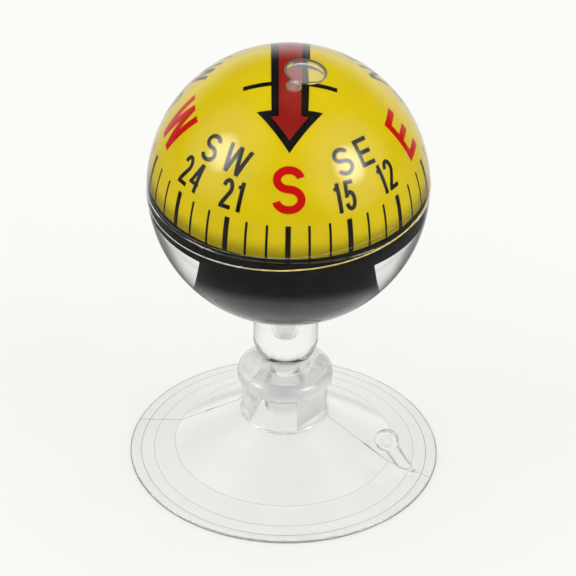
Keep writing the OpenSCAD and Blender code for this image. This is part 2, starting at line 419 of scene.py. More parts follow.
def moulded_skin():
    """The soft waves and fine grain that a mould leaves in a plastic face."""
    group, takes, gives = new_group(
        "moulded_skin",
        [("Wave Scale", "Float", 300.0), ("Wave Height", "Float", 0.00002),
         ("Upright Share", "Float", 1.0), ("Grain Share", "Float", 0.1)],
        [("Normal", "Vector")],
    )
    place = own_place(group)
    stretch = node(group, "CombineXYZ", X=1.0, Y=1.0, Z=takes.outputs["Upright Share"])
    drawn = node(group, "Mapping", Vector=place, Scale=stretch.outputs[0])
    wave = node(group, "TexNoise", Vector=drawn.outputs[0], Scale=takes.outputs["Wave Scale"], Detail=2.0)
    grain = node(group, "TexNoise", Vector=place, Scale=6000.0, Detail=3.0)
    fine = maths(group, "MULTIPLY", grain.outputs["Fac"], takes.outputs["Grain Share"])
    height = maths(group, "ADD", wave.outputs["Fac"], fine)
    bump = node(group, "Bump", Strength=1.0, Distance=takes.outputs["Wave Height"], Height=height)
    group.links.new(bump.outputs["Normal"], gives.inputs["Normal"])
    return group


def handling_marks():
    """Hairline scratches and specks of dust, which are rougher than the face round them."""
    group, takes, gives = new_group(
        "handling_marks",
        [("Clean", "Float", 0.0), ("Marked", "Float", 0.15), ("Amount", "Float", 0.3)],
        [("Roughness", "Float")],
    )
    place = own_place(group)
    patches = node(group, "TexNoise", Vector=place, Scale=400.0, Detail=4.0)
    turned_place = node(group, "Mapping", Vector=place, Rotation=(0.4, 0.9, 0.3), Scale=(0.05, 1.0, 1.0))
    lines = node(group, "TexNoise", Vector=turned_place.outputs[0], Scale=9000.0, Detail=1.0)
    hairs = eased(group, lines.outputs["Fac"], 0.70, 0.76, 0, 1)
    specks = node(group, "TexVoronoi", Vector=place, Scale=1400.0)
    dust = eased(group, specks.outputs["Distance"], 0.09, 0.05, 0, 1)
    where = eased(group, patches.outputs["Fac"], 0.5, 0.66, 0, 1)
    mask = maths(group, "MULTIPLY", maths(group, "MAXIMUM", hairs, dust), where)
    mask = maths(group, "MULTIPLY", mask, takes.outputs["Amount"])
    blend = node(group, "Mix", Factor=mask, A=takes.outputs["Clean"], B=takes.outputs["Marked"])
    group.links.new(blend.outputs[0], gives.inputs["Roughness"])
    return group


def uneven_tint():
    """Two tones of a colour that drift into each other, with fine flecks of the second."""
    group, takes, gives = new_group(
        "uneven_tint",
        [("First", "Color", WHITE), ("Second", "Color", (0.9, 0.9, 0.9, 1)),
         ("Scale", "Float", 250.0), ("Flecks", "Float", 0.1)],
        [("Color", "Color")],
    )
    place = own_place(group)
    drift = node(group, "TexNoise", Vector=place, Scale=takes.outputs["Scale"], Detail=3.0)
    fine = node(group, "TexNoise", Vector=place, Scale=7000.0, Detail=2.0)
    flecks = eased(group, fine.outputs["Fac"], 0.6, 0.7, 0, 1)
    flecks = maths(group, "MULTIPLY", flecks, takes.outputs["Flecks"])
    share = maths(group, "ADD", eased(group, drift.outputs["Fac"], 0.35, 0.7, 0, 1), flecks)
    colour = mixed_colour(group, share, takes.outputs["First"], takes.outputs["Second"])
    group.links.new(colour, gives.inputs["Color"])
    return group


EFFECTS = {}


def effect(tree, name, **inputs):
    """Places a shared effect in a finish. Inputs are set by name, spaces written as underscores."""
    made = tree.nodes.new("ShaderNodeGroup")
    made.node_tree = EFFECTS[name]
    for title, value in inputs.items():
        made.inputs[title.replace("_", " ")].default_value = value
    return made


# Finishes

# What a thick part of a soft moulding adds to its share of the dark edge colour, as a tint for its thickness,
# and to its roughness; only there the painted edge shade shows
THICK_TINT = 0.12
THICK_HAZE = 0.1
# Colour that a clear tint darkens towards: painted shade where a face turns from the eye, and the tint of a
# thick part
PAINTED_EDGE_SHADE_AND_THICK_TINT = (0.2, 0.2, 0.19, 1)
# Light that was mirrored more often than this in clear pieces goes straight on
TRAPPED = 2.5


def clear_finish(name, ior, first, second, passes, wave_height, wave_scale=260.0, marks=0.3, haze=0.0,
                 clearness=1.0, edge=0.0, edge_shade_from=0.6, thick_above=None, upright=1.0):
    """A clear finish that bends light. Light from the lamps goes straight through it, tinted. Where a face
    turns from the eye its tint can darken, a painted shade.
    """
    material, tree = new_material(name)
    tint = effect(tree, "uneven_tint", First=first, Second=second, Scale=120.0, Flecks=0.0)
    skin = effect(tree, "moulded_skin", Wave_Scale=wave_scale, Wave_Height=wave_height, Grain_Share=0.02,
                  Upright_Share=upright)
    wear = effect(tree, "handling_marks", Clean=haze, Marked=0.25, Amount=marks)
    # Painted shade: the tint darkens where a face turns from the eye, standing in for the darker room seen
    # through the edges
    rim = eased(tree, node(tree, "LayerWeight", Blend=0.5).outputs["Facing"], edge_shade_from, 1.0, 0, edge)
    roughness = wear.outputs["Roughness"]
    if thick_above:
        height = node(tree, "SeparateXYZ", Vector=own_place(tree)).outputs["Z"]
        thick = eased(tree, height, thick_above - MM, thick_above + MM, 0, 1)
        rim = maths(tree, "MULTIPLY", maths(tree, "ADD", rim, THICK_TINT), thick)
        roughness = maths(tree, "ADD", roughness, maths(tree, "MULTIPLY", thick, THICK_HAZE))
    colour = mixed_colour(tree, rim, tint.outputs["Color"], PAINTED_EDGE_SHADE_AND_THICK_TINT)
    body = node(tree, "BsdfPrincipled", Base_Color=colour, Roughness=roughness,
                Normal=skin.outputs["Normal"], IOR=ior, Transmission_Weight=clearness)
    straight = node(tree, "BsdfTransparent", Color=passes)
    path = node(tree, "LightPath")
    lighting = maths(tree, "MAXIMUM", path.outputs["Is Shadow Ray"], path.outputs["Is Diffuse Ray"])
    trapped = maths(tree, "GREATER_THAN", path.outputs["Glossy Depth"], TRAPPED)
    both = mixed_shader(tree, maths(tree, "MAXIMUM", lighting, trapped), body, straight)
    node(tree, "OutputMaterial", Surface=both.outputs[0])
    return material


def joined_finish(name, first, second):
    """A film that bends no light, where clear pieces are cemented or the liquid wets its wall."""
    material, tree = new_material(name)
    tint = effect(tree, "uneven_tint", First=first, Second=second, Scale=500.0, Flecks=0.0)
    film = node(tree, "BsdfTransparent", Color=tint.outputs["Color"])
    node(tree, "OutputMaterial", Surface=film.outputs[0])
    return material


# Painted shade towards a finish's lower edge: the height over which it fades in, the share of the darker
# colour at the edge, and how dark that colour is
SHADE_H = 2.0 * MM
SHADE_SHARE = 0.8
SHADE_DARKNESS = 0.3


def solid_finish(name, first, second, roughness=0.4, marked=0.55, ior=1.1, wave_height=0.00001,
                 wave_scale=300.0, metal=0.0, flecks=0.1, shine=0.2, painted_shade_below=None):
    """A finish that no light goes through. It can darken towards a lower edge, a painted shade."""
    material, tree = new_material(name)
    colour = effect(tree, "uneven_tint", First=first, Second=second, Flecks=flecks).outputs["Color"]
    if painted_shade_below:
        # Painted shade: the colour darkens towards the lower edge
        height = node(tree, "SeparateXYZ", Vector=own_place(tree)).outputs["Z"]
        low = eased(tree, height, painted_shade_below - SHADE_H, painted_shade_below, SHADE_SHARE, 0)
        colour = mixed_colour(tree, low, colour, [SHADE_DARKNESS * part for part in first[:3]] + [1])
    skin = effect(tree, "moulded_skin", Wave_Scale=wave_scale, Wave_Height=wave_height)
    wear = effect(tree, "handling_marks", Clean=roughness, Marked=marked, Amount=0.6)
    body = node(tree, "BsdfPrincipled", Base_Color=colour, Roughness=wear.outputs["Roughness"],
                Normal=skin.outputs["Normal"], IOR=ior, Metallic=metal, Specular_IOR_Level=shine)
    node(tree, "OutputMaterial", Surface=body.outputs[0])
    return material


# Where the colour of the left side of a cement ends; on the seam bead that colour is a painted highlight
LEFT_SIDE = (-6 * MM, -1 * MM)


def hazy_cement(name, colour, thin, thick, left=None):
    """Cement, clear in places and cloudy in others. It can have another colour on the left side, which on the
    seam bead is a painted highlight.
    """
    material, tree = new_material(name)
    place = own_place(tree)
    streaks = node(tree, "TexNoise", Vector=place, Scale=1500.0, Detail=4.0)
    cover = eased(tree, streaks.outputs["Fac"], 0.35, 0.62, thin, thick)
    skin = effect(tree, "moulded_skin", Wave_Scale=2500.0, Wave_Height=0.00003)
    across = node(tree, "SeparateXYZ", Vector=place).outputs["X"]
    # Another colour on the left side: on the seam bead, a painted highlight
    tint = mixed_colour(tree, eased(tree, across, *LEFT_SIDE, 0, 1), left or colour, colour)
    body = node(tree, "BsdfPrincipled", Base_Color=tint, Roughness=0.3,
                Normal=skin.outputs["Normal"], IOR=1.4, Alpha=cover)
    node(tree, "OutputMaterial", Surface=body.outputs[0])
    return material


# Shapes

def arc(centre_r, centre_z, radius, start, end, steps):
    """Points on an arc, with its angles in degrees from straight out."""
    points = []
    for i in range(steps + 1):
        a = math.radians(start + (end - start) * i / steps)
        points.append((centre_r + radius * math.cos(a), centre_z + radius * math.sin(a)))
    return points


def angle_under(r, ball_r):
    """Angle on the underside of a ball where it is r from the axis, in degrees from straight out."""
    return -math.degrees(math.acos(r / ball_r))


def finish_piece(name, mesh, materials, body, stands_for=()):
    """Places a piece with its finishes on the body that carries it. It can stand for solids."""
    piece = place_object(name, mesh)
    for material in materials:
        mesh.materials.append(material)
    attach(piece, body)
    if stands_for:
        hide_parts(*stands_for)


def outward(mesh):
    """Turns the faces of each closed shell outwards."""
    work = bmesh.new()
    work.from_mesh(mesh)
    bmesh.ops.recalc_face_normals(work, faces=work.faces)
    work.to_mesh(mesh)
    work.free()


def smooth(mesh, crease=32):
    """Shades a mesh smooth, apart from its edges that turn by more than the crease, in degrees."""
    for face in mesh.polygons:
        face.use_smooth = True
    mesh.set_sharp_from_angle(angle=math.radians(crease))


def turned(name, runs, height=0.0, sides=SIDES):
    """Turns an outline about the axis. Each run is a list of (radius, height) points and the number of
    the finish on the faces up to each point. The outline ends on the axis, or closes on itself."""
    outline, finishes = [], []
    for points, finish in runs:
        for point in points:
            if outline and math.dist(point, outline[-1]) < 1e-8:
                continue
            outline.append(point)
            finishes.append(finish)
    loops = outline[0][0] > 1e-7
    if loops and math.dist(outline[0], outline[-1]) < 1e-8:
        outline.pop()
        finishes[0] = finishes.pop()
    places, rings, faces, marks = [], [], [], []
    for r, z in outline:
        count = sides if r > 1e-7 else 1
        rings.append(range(len(places), len(places) + count))
        for k in range(count):
            a = 2 * math.pi * k / sides
            places.append((r * math.cos(a), r * math.sin(a), z + height))
    for j in range(0 if loops else 1, len(outline)):
        low, high = rings[j - 1], rings[j]
        for k in range(sides):
            n = (k + 1) % sides
            if len(low) == 1:
                faces.append((low[0], high[n], high[k]))
            elif len(high) == 1:
                faces.append((low[k], low[n], high[0]))
            else:
                faces.append((low[k], low[n], high[n], high[k]))
            marks.append(finishes[j])
    mesh = new_mesh(name, places, faces)
    mesh.polygons.foreach_set("material_index", marks)
    outward(mesh)
    smooth(mesh)
    return mesh


# Ball

# Places in the list of finishes of a shell or the plug
CLEAR, WET, JOINED = 0, 1, 2


def make_upper_shell(finishes):
    bevel = math.degrees(math.asin(SEAM_CHAMFER / BALL_R))
    mesh = turned("ball_upper", [
        (arc(0, 0, BALL_R, 90, bevel, 96), CLEAR),
        ([(BALL_R - SEAM_CHAMFER, 0)], CLEAR),
        ([(INNER_R, 0)], JOINED),
        (arc(0, 0, INNER_R, 0, 90, 90), WET),
    ], BALL_Z)
    finish_piece("ball_upper", mesh, finishes, "housing", ["upper_shell"])


def make_lower_shell(finishes):
    bevel = -math.degrees(math.asin(SEAM_CHAMFER / BALL_R))
    hole_in = angle_under(PLUG_R, INNER_R)
    hole_out = angle_under(PLUG_R, BALL_R)
    seat = angle_under(SHAFT_R, BALL_R)
    recess = angle_under(RECESS_R, BALL_R)
    mesh = turned("ball_lower", [
        (arc(0, 0, INNER_R, hole_in, 0, 90), WET),
        ([(BALL_R - SEAM_CHAMFER, 0)], JOINED),
        ([(BALL_R * math.cos(math.radians(bevel)), -SEAM_CHAMFER)], CLEAR),
        (arc(0, 0, BALL_R, bevel, seat, 90), CLEAR),
        (arc(0, 0, BALL_R, seat, recess, 12), JOINED),
        (arc(0, 0, BALL_R, recess, hole_out, 4), CLEAR),
        (arc(0, 0, INNER_R, hole_in, hole_in, 1), JOINED),
    ], BALL_Z)
    finish_piece("ball_lower", mesh, finishes, "housing", ["lower_shell"])


def make_filler_plug(finishes):
    inner = PLUG_R - 0.005 * MM
    top = -math.sqrt(INNER_R ** 2 - inner ** 2)
    seat = -math.sqrt(BALL_R ** 2 - inner ** 2)
    mesh = turned("filler_plug_clear", [
        ([(0, top), (inner, top)], WET),
        ([(inner, seat)], JOINED),
        ([(PLUG_HEAD_R, seat), (PLUG_HEAD_R, -BALL_R - PLUG_HEAD_H + 0.1 * MM)], CLEAR),
        ([(PLUG_HEAD_R - 0.1 * MM, -BALL_R - PLUG_HEAD_H), (0, -BALL_R - PLUG_HEAD_H)], CLEAR),
    ], BALL_Z, 64)
    finish_piece("filler_plug_clear", mesh, finishes, "housing", ["filler_plug"])


def make_stem(finishes):
    """The stem, with finishes for its outside, the clear and the cloudy cement, and the recess."""
    outside, cemented, cloudy, cored = range(4)
    tip_z = -BALL_R - RECESS_H + RECESS_TIP_R
    seat_r = BALL_R + 0.01 * MM
    edge = angle_under(SHAFT_R, seat_r)
    recess = angle_under(RECESS_R, seat_r)
    cloudy_end = angle_under(CLOUDY_R, seat_r)
    base = -BALL_Z
    neck = angle_under(NECK_R - SHAFT_R + SHOULDER, SHOULDER)
    mesh = turned("stem_clear", [
        (arc(0, tip_z, RECESS_TIP_R, -90, 0, 24), cored),
        ([(RECESS_R, seat_r * math.sin(math.radians(recess)))], cored),
        (arc(0, 0, seat_r, recess, cloudy_end, 8), cloudy),
        (arc(0, 0, seat_r, cloudy_end, edge, 4), cemented),
        (arc(SHAFT_R - SHOULDER, base + SHOULDER_Z + SHOULDER, SHOULDER, 0, neck, 40), outside),
        ([(NECK_R, base + NECK_END_Z), (BUTTON_R, base + BUTTON_TOP_Z)], outside),
        (arc(BUTTON_R - BUTTON_EDGE, base + BUTTON_Z + BUTTON_EDGE, BUTTON_EDGE, 0, -90, 12), outside),
        ([(0, base + BUTTON_Z)], outside),
    ], BALL_Z, 160)
    finish_piece("stem_clear", mesh, finishes, "housing", ["stem"])


def swept(name, path, thick, round_sides=8, closed=True):
    """A thin bead along a path. The thickness is one number, or one for each point."""
    count = len(path)
    places, faces = [], []
    for i, place in enumerate(path):
        before = path[i - 1] if closed or i else path[0]
        after = path[(i + 1) % count] if closed or i < count - 1 else path[-1]
        along = (after - before).normalized()
        side = along.cross(Vector((0, 0, 1)))
        side = side.normalized() if side.length > 1e-6 else Vector((1, 0, 0))
        above = side.cross(along)
        size = thick[i] if isinstance(thick, list) else thick
        for k in range(round_sides):
            b = 2 * math.pi * k / round_sides
            places.append(place + side * size * math.cos(b) + above * size * math.sin(b))
    for i in range(count if closed else count - 1):
        for k in range(round_sides):
            n, m = (i + 1) % count, (k + 1) % round_sides
            faces.append((i * round_sides + k, n * round_sides + k, n * round_sides + m, i * round_sides + m))
    if not closed:
        faces.append(tuple(range(round_sides)))
        faces.append(tuple(range((count - 1) * round_sides, count * round_sides)))
    mesh = new_mesh(name, places, faces)
    outward(mesh)
    smooth(mesh, 80)
    return mesh


# Angles of the points on a ring round the axis
RING_TURNS = [2 * math.pi * i / 720 for i in range(720)]


def seam_place(a, r, lift):
    """A point of the seam, which leans a little in the ball."""
    z = lift - SEAM_DROP + (SEAM_SLOPE[0] * math.cos(a) + SEAM_SLOPE[1] * math.sin(a)) * r
    level = math.sqrt(r * r - z * z)
    return Vector((level * math.cos(a), level * math.sin(a), BALL_Z + z))


def make_weld_line(finish):
    """Bead of cement pressed out along the seam, with flash where it was not trimmed."""
    path, thick = [], []
    for i in range(SEAM_POINTS):
        a = 2 * math.pi * i / SEAM_POINTS
        bearing = math.degrees(math.atan2(math.cos(a), -math.sin(a)))
        slow = noise.noise(Vector((math.cos(a) * 6, math.sin(a) * 6, 3)))
        fine = noise.noise(Vector((math.cos(a) * 70, math.sin(a) * 70, 7)))
        flash = sum(share * max(0, 1 - abs(bearing - at) / half) for at, half, share in FLASH)
        r = BALL_R - (0.03 - 0.04 * flash * max(0, fine)) * MM
        path.append(seam_place(a, r, (0.03 * slow + 0.16 * flash * fine) * MM))
        thick.append(BEAD_R + (0.02 * slow + 0.05 * flash * max(0, fine + 0.2)) * MM)
    finish_piece("weld_line", swept("weld_line", path, thick), [finish], "housing")


def make_tongue_cement(finish):
    """Cement pressed into the inner corner of the tongue, which leans with the seam."""
    path = [seam_place(a, TONGUE_R - TONGUE_W / 2, TONGUE_CEMENT_RISE) for a in RING_TURNS]
    mesh = swept("tongue_cement", path, TONGUE_CEMENT_T)
    finish_piece("tongue_cement", mesh, [finish], "housing")


# Liquid

def way_out(bearing, rise):
    """Unit vector at a bearing from the south mark, positive to the right of a viewer who faces it."""
    a, b = math.radians(bearing), math.radians(rise)
    return Vector((math.sin(a) * math.cos(b), -math.cos(a) * math.cos(b), math.sin(b)))


def bubble(places, faces, size, at, sides=48, rings=24):
    """Adds a flattened air bubble near the top of the ball. Its faces are turned to the air in it."""
    out = way_out(*at)
    east = Vector((0, 0, 1)).cross(out).normalized()
    north = out.cross(east)
    centre = out * (LIQUID_R - size[1] - 0.03 * MM)
    start = len(places)
    for j in range(1, rings):
        b = math.pi * j / rings
        for k in range(sides):
            a = 2 * math.pi * k / sides
            flat = east * math.cos(a) + north * math.sin(a)
            wide = size[0] * math.sin(b) ** BUBBLE_FLATNESS
            high = math.copysign(size[1] * abs(math.cos(b)) ** BUBBLE_FLATNESS, math.cos(b))
            place = centre + flat * wide + out * high
            # The bubble bends along the round wall
            drop = wide ** 2 / (2 * LIQUID_R)
            places.append(place - out * drop + Vector((0, 0, BALL_Z)))
    top = len(places)
    places.append(centre + out * size[1] + Vector((0, 0, BALL_Z)))
    places.append(centre - out * size[1] + Vector((0, 0, BALL_Z)))
    for k in range(sides):
        n = (k + 1) % sides
        faces.append((top, start + n, start + k))
        for j in range(rings - 2):
            a, b = start + j * sides, start + (j + 1) * sides
            faces.append((a + k, a + n, b + n, b + k))
        last = start + (rings - 2) * sides
        faces.append((last + k, last + n, top + 1))


def make_liquid(finish, air_skin):
    """The liquid, with the bubbles as hollows in it."""
    mesh = turned("liquid", [(arc(0, 0, LIQUID_R, 90, -90, 144), 0)], BALL_Z)
    places = [v.co.copy() for v in mesh.vertices]
    faces = [tuple(f.vertices) for f in mesh.polygons]
    wall = len(faces)
    bubble(places, faces, LARGE_BUBBLE, LARGE_BUBBLE_AT)
    bubble(places, faces, SMALL_BUBBLE, SMALL_BUBBLE_AT, 32, 16)
    whole = new_mesh("liquid_body", places, faces)
    whole.polygons.foreach_set("material_index", [0] * wall + [1] * (len(faces) - wall))
    smooth(whole, 80)
    finish_piece("liquid", whole, [finish, air_skin], "liquid", ["damping_fluid"])


# Float

def make_dome(finish):
    edge_out = math.degrees(math.asin(DOME_EDGE / DOME_R))
    inner = DOME_R - DOME_T
    edge_in = math.degrees(math.asin(DOME_EDGE / inner))
    mesh = turned("dome", [
        (arc(0, 0, DOME_R, 90, edge_out, 96), 0),
        (arc(0, 0, inner, edge_in, 90, 60), 0),
    ], BALL_Z)
    finish_piece("dome", mesh, [finish], "dial", ["dial_dome"])


def on_float(r):
    """Height of the float's round underside at a radius."""
    return -math.sqrt(DOME_R ** 2 - r ** 2)


def make_base(finish):
    """Black base of the float: the cup for the weight, the deck, the rim under the dome, and the spigot
    inside the dome."""
    rim_low = BASE_TOP - RIM_H
    deck_low = BASE_TOP - BASE_T
    rim_in = DOME_R - BASE_T - DOME_T
    spigot = DOME_R - DOME_T - TURN_FIT
    spigot_top = DOME_EDGE + SPIGOT_H
    chamfer = 0.12 * MM
    low = math.degrees(math.asin((rim_low + chamfer) / DOME_R))
    high = math.degrees(math.asin(BASE_TOP / DOME_R))
    corner = math.sqrt(DOME_R ** 2 - rim_low ** 2)
    cup_low = math.degrees(math.atan2(on_float(CUP_R - chamfer), CUP_R - chamfer))
    mesh = turned("base", [
        (arc(0, 0, DOME_R, -90, cup_low, 30), 0),
        ([(CUP_R, on_float(CUP_R) + chamfer), (CUP_R, deck_low - 0.3 * MM)], 0),
        (arc(CUP_R + 0.3 * MM, deck_low - 0.3 * MM, 0.3 * MM, 180, 90, 6), 0),
        ([(rim_in, deck_low), (rim_in, rim_low), (corner - chamfer, rim_low)], 0),
        (arc(0, 0, DOME_R, low, high, 16), 0),
        ([(spigot, BASE_TOP), (math.sqrt(spigot ** 2 - spigot_top ** 2), spigot_top)], 0),
        ([(spigot - BASE_T, spigot_top), (spigot - BASE_T, BASE_TOP)], 0),
        ([(CUP_R - BASE_T, BASE_TOP), (CUP_R - BASE_T, CUP_FLOOR), (0, CUP_FLOOR)], 0),
    ], BALL_Z)
    finish_piece("base", mesh, [finish], "float", ["float_base"])


# Lines that the mould leaves on the cup

MOULD_PLANE = Matrix.Rotation(math.radians(MOULD_TURN), 4, "Z")


def line_piece(name, path, thick, finish, closed=False):
    mesh = swept(name, path, thick, 6, closed)
    finish_piece(name, mesh, [finish], "base")


def make_rings(finish):
    """Flash on the rim, and the edges between the bands of the lip and the flare, as lines whose grey is
    painted shade.
    """
    rings = (("rim_flash", CUP_EDGE_R - 0.06 * MM, 0.225 * MM, 0.1 * MM),
             ("grip_edge_line", CUP_EDGE_R - GRIP_W, 0.045 * MM, 0.032 * MM),
             ("bevel_edge_line", CUP_EDGE_R - GRIP_W - BEVEL_W, 0.12 * MM, 0.02 * MM),
             ("flare_crease", FLARE_R, FLARE_Z, 0.016 * MM))
    for name, r, z, thick in rings:
        path = [Vector((r * math.cos(a), r * math.sin(a), z)) for a in RING_TURNS]
        line_piece(name, path, thick, finish, closed=True)


def make_parting_lines(finish):
    """The mould's parting line on both sides of the cup, from its lip to the top of its ring. Each has a
    nib on the cone."""
    foot = LEG_R + FOOT_FILLET
    slope = (FLOOR_Z - FLARE_Z) / (FLARE_R - LEG_R)
    profile = [(CUP_EDGE_R - 0.02 * MM, 0.25 * MM), (CUP_EDGE_R - LIP_T / 2, LIP_T), (FLARE_R, FLARE_Z)]
    profile += [(r, FLARE_Z + slope * (FLARE_R - r)) for r in (NIB_R_RIGHT, NIB_R_LEFT, 7.5 * MM, foot)]
    profile += [(LEG_R + 0.14 * MM, FLOOR_Z + 0.3 * MM), (LEG_R, FLOOR_Z + 0.8 * MM), (LEG_R, RING_Z)]
    profile += arc(RING_R - RING_EDGE, RING_Z + RING_EDGE, RING_EDGE, -60, 0, 5)
    profile += arc(RING_R - RING_SHOULDER, RING_TOP - RING_SHOULDER, RING_SHOULDER, 0, 90, 10)
    for name, side, nib_r in (("parting_line_right", 1, NIB_R_RIGHT), ("parting_line_left", -1, NIB_R_LEFT)):
        path = [MOULD_PLANE @ Vector((side * r, 0, z)) for r, z in profile]
        thick = [NIB_T if r == nib_r else PARTING_T for r, z in profile]
        line_piece(name, path, thick, finish)


def make_tab_outline(finish):
    """Flash round the pull tab: up one side of its bar, round its head and down the other side."""
    head = Vector((CUP_EDGE_R - TAB_HEAD_IN, 0, TAB_HEAD_Z))
    foot = Vector((CUP_EDGE_R - TAB_FOOT_IN, 0, LIP_T))
    run = (foot - head).normalized()
    across = Vector((-run.z, 0, run.x))
    opening = math.degrees(math.asin(TAB_BAR_W / 2 / TAB_HEAD_R))
    outline = [foot - run * 0.1 * MM + across * TAB_FOOT_W / 2]
    for i in range(33):
        a = math.radians(opening + (360 - 2 * opening) * i / 32)
        outline.append(head + run * TAB_HEAD_R * math.cos(a) + across * TAB_HEAD_R * math.sin(a))
    outline.append(foot - run * 0.1 * MM - across * TAB_FOOT_W / 2)
    line_piece("tab_flash", [MOULD_PLANE @ place for place in outline], TAB_LINE_T, finish)


# Print on the dial

def slant(x_low, y_low, x_high, y_high, width):
    """A bar between two heights with level ends, and its width measured level."""
    h = width / 2
    return [(x_low - h, y_low), (x_low + h, y_low), (x_high + h, y_high), (x_high - h, y_high)]


def bar(x0, y0, x1, y1):
    return [(x0, y0), (x1, y0), (x1, y1), (x0, y1)]


def bow(cx, cy, rx, ry, start, end, tail=()):
    """Centre line of a bowed stroke, with its angles in degrees."""
    steps = max(6, int(abs(end - start) / 8))
    turn = [math.radians(start + (end - start) * i / steps) for i in range(steps + 1)]
    return [(cx + rx * math.cos(a), cy + ry * math.sin(a)) for a in turn] + list(tail)


def stroke(line, thick):
    """Outline of a stroke of even thickness along a line."""
    left, right = [], []
    for i, (x, y) in enumerate(line):
        x0, y0 = line[max(0, i - 1)]
        x1, y1 = line[min(len(line) - 1, i + 1)]
        size = math.hypot(x1 - x0, y1 - y0)
        nx, ny = -(y1 - y0) / size * thick / 2, (x1 - x0) / size * thick / 2
        left.append((x + nx, y + ny))
        right.append((x - nx, y - ny))
    return left + right[::-1]


def sign(mark, w, t):
    """The shapes that make up a letter or figure of height 1, width w and stroke t."""
    low, high, left, right, mid = t / 2, 1 - t / 2, t / 2, w - t / 2, w / 2
    rx, h = (w - t) / 2, 1 - t
    if mark == "N":
        return [bar(0, 0, t, 1), bar(w - t, 0, w, 1), slant(w - t * 0.62, 0, t * 0.62, 1, t * 1.2)]
    if mark == "E":
        middle = bar(0, 0.5 - t / 2, w * 0.94, 0.5 + t / 2)
        return [bar(0, 0, t, 1), bar(0, 0, w, t), bar(0, 1 - t, w, 1), middle]
    if mark == "W":
        s, q = t * 1.05, w * 0.27
        return [slant(q, 0, s / 2, 1, s), slant(q, 0, mid, 1, s),
                slant(w - q, 0, mid, 1, s), slant(w - q, 0, w - s / 2, 1, s)]
    if mark == "S":
        upper = bow(mid, high - h * 0.24, rx * 0.94, h * 0.24, 12, 262)
        lower = bow(mid, low + h * 0.26, rx, h * 0.26, 82, -168)
        return [stroke(upper + lower, t)]
    if mark == "0":
        return [stroke(bow(mid, high - rx, rx, rx, 80, 180) + bow(mid, low + rx, rx, rx, 180, 280), t),
                stroke(bow(mid, low + rx, rx, rx, -100, 0) + bow(mid, high - rx, rx, rx, 0, 100), t)]
    if mark == "1":
        return [bar(w - t, 0, w, 1), stroke(bow(left * 0.2, 1.0, right, h * 0.24, -80, -8), t * 0.8)]
    if mark == "2":
        curve = bow(mid, high - h * 0.27, rx, h * 0.27, 172, -28, [(left * 1.15, low + t * 0.4)])
        return [stroke(curve, t), bar(0, 0, w, t)]
    if mark == "3":
        return [stroke(bow(mid, high - h * 0.235, rx * 0.94, h * 0.235, 165, -90), t),
                stroke(bow(mid, low + h * 0.265, rx, h * 0.265, 90, -165), t)]
    if mark == "4":
        return [bar(w * 0.6, 0, w * 0.6 + t, 1), bar(0, 0.24, w, 0.24 + t * 0.85),
                slant(t * 0.5, 0.26, w * 0.6 + t * 0.4, 1, t)]
    if mark == "5":
        return [bar(w * 0.16, 1 - t, w * 0.94, 1),
                slant(w * 0.06 + t / 2, 0.45, w * 0.16 + t / 2, 1, t * 0.95),
                stroke(bow(mid, low + h * 0.31, rx, h * 0.31, 140, -165), t)]
    if mark == "6":
        return [stroke(bow(mid, low + h * 0.3, rx, h * 0.3, 80, 280), t),
                stroke(bow(mid, low + h * 0.3, rx, h * 0.3, -100, 100), t),
                stroke(bow(mid, high - rx, rx, rx, 35, 180, [(left, low + h * 0.3)]), t)]
    raise ValueError("no shape for " + mark)


def lettering(text, height, width, thick, gap):
    """Shapes of a word, centred, with the widths of its signs as shares of the height."""
    widths = [width[mark] if mark in width else width["other"] for mark in text]
    at = -(sum(widths) + gap * (len(text) - 1)) / 2
    shapes = []
    for mark, w in zip(text, widths):
        for shape in sign(mark, w, thick):
            shapes.append([((x + at) * height, (y - 0.5) * height) for x, y in shape])
        at += w + gap
    return shapes


def dial_place(bearing, rise, x, y, r):
    """Where a point of the flat print lies on the round dial, at radius r."""
    out = way_out(bearing, rise)
    east = Vector((math.cos(math.radians(bearing)), math.sin(math.radians(bearing)), 0))
    north = out.cross(east)
    far = math.hypot(x, y)
    if far < 1e-9:
        return out * r
    angle = far / DOME_R
    return (out * math.cos(angle) + (east * x + north * y) / far * math.sin(angle)) * r


def printed(name, prints, finish):
    """Prints shapes on the dial as a thin film. Each print is a bearing, a rise and a list of flat shapes."""
    places, faces = [], []
    for bearing, rise, shapes in prints:
        points, triangles = merged(shapes)
        start, count = len(places), len(points)
        for lift in (INK_T, -INK_ROOT):
            for x, y in points:
                places.append(dial_place(bearing, rise, x, y, DOME_R + lift) + Vector((0, 0, BALL_Z)))
        edges = {}
        for a, b, c in triangles:
            faces.append((start + a, start + b, start + c))
            faces.append((start + count + c, start + count + b, start + count + a))
            for p, q in ((a, b), (b, c), (c, a)):
                edges[(p, q)] = True
        for p, q in edges:
            if (q, p) not in edges:
                faces.append((start + q, start + p, start + count + p, start + count + q))
    mesh = new_mesh(name, places, faces)
    smooth(mesh, 40)
    finish_piece(name, mesh, [finish], "dial")


def finely_divided(shape):
    """Adds points along the edges of a shape, so that it follows the round dial."""
    points = []
    for (x0, y0), (x1, y1) in zip(shape, shape[1:] + shape[:1]):
        steps = max(1, math.ceil(math.hypot(x1 - x0, y1 - y0) / INK_GRID))
        points += [(x0 + (x1 - x0) * i / steps, y0 + (y1 - y0) * i / steps) for i in range(steps)]
    return points


